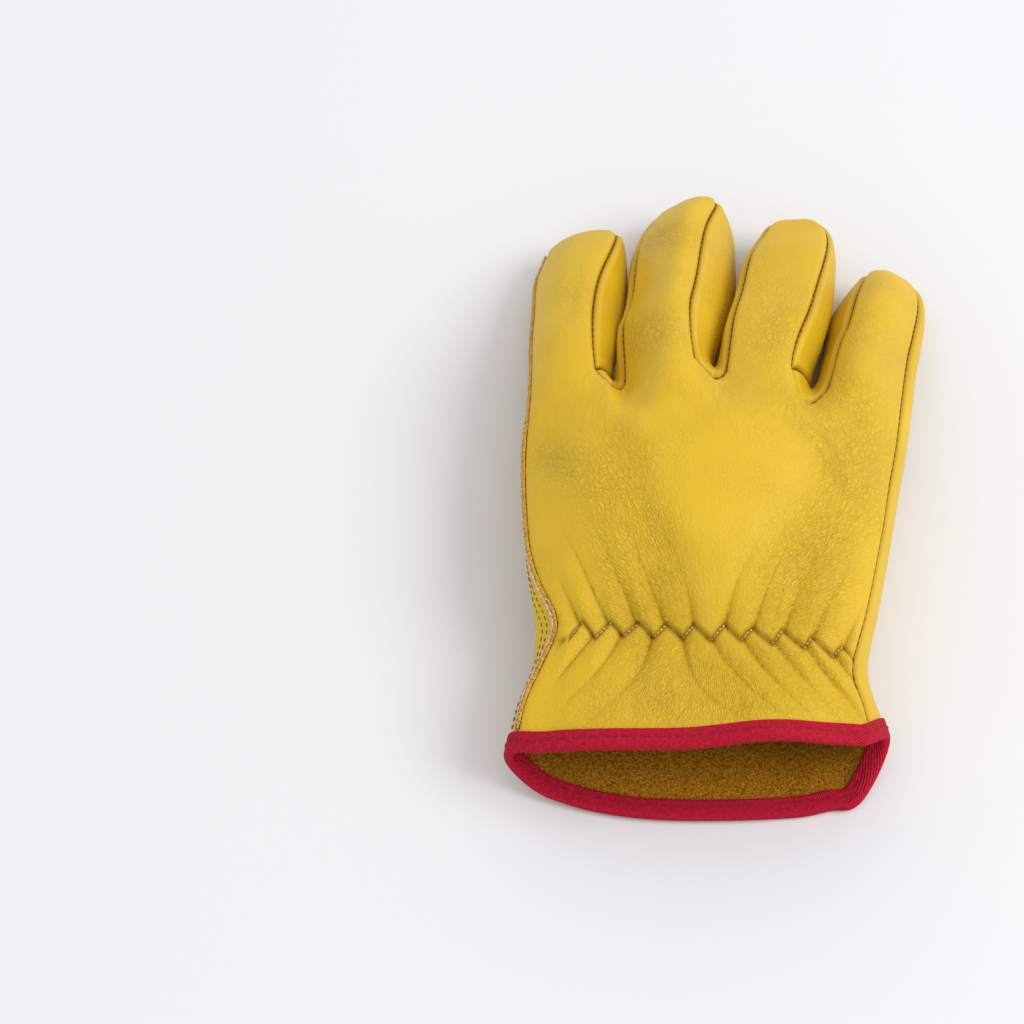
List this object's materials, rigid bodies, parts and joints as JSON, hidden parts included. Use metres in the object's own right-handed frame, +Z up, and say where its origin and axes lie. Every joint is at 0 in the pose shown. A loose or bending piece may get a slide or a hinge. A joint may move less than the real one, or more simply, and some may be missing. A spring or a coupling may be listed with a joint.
{
  "type": "leather work glove",
  "caption": "Right-hand leather gardening glove lying palm down, hollow, with gathered wrist, folded-in thumb and fabric-bound open cuff.",
  "frame": {"origin": "middle of the glove's footprint, on the surface that it lies on", "axes": "+Z up through the back of the hand, +Y towards the fingertips, +X towards the little finger"},
  "size_m": [0.1348, 0.2136, 0.0551],
  "materials": {
    "leather": "smooth yellow grain leather outside, brown suede inside",
    "binding": "red woven twill tape"
  },
  "bodies": {
    "root": {"back_panel": "leather", "palm_panel": "leather", "finger_front": "leather", "thumb": "leather", "cuff_binding": "binding"}
  },
  "joints": []
}
